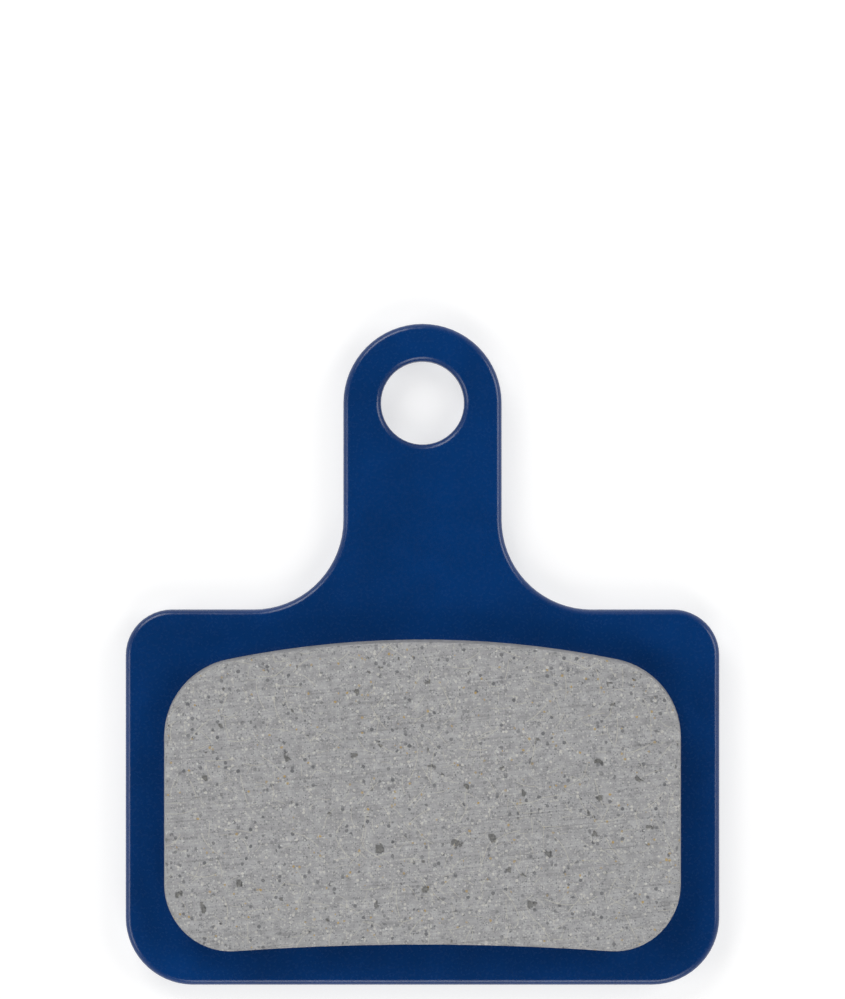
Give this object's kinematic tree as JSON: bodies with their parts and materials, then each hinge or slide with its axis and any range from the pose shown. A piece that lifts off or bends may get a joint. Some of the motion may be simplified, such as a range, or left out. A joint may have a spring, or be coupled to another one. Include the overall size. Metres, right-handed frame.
{
  "type": "bicycle disc brake pad",
  "caption": "Flat steel plate with a rounded body, a tab pierced for a pin and an arched friction block moulded on its face, which a caliper presses against a brake rotor.",
  "frame": {"origin": "on the axis of the pin hole, at the plate's back face", "axes": "+X across the pad, +Y up the tab, away from the wheel's axle, +Z out of the friction face"},
  "size_m": [0.03, 0.0334, 0.004],
  "materials": {
    "powder_coated_steel": "satin",
    "friction_compound": "matte"
  },
  "bodies": {
    "root": {"backing_plate": "powder_coated_steel", "friction_lining": "friction_compound"}
  },
  "joints": []
}
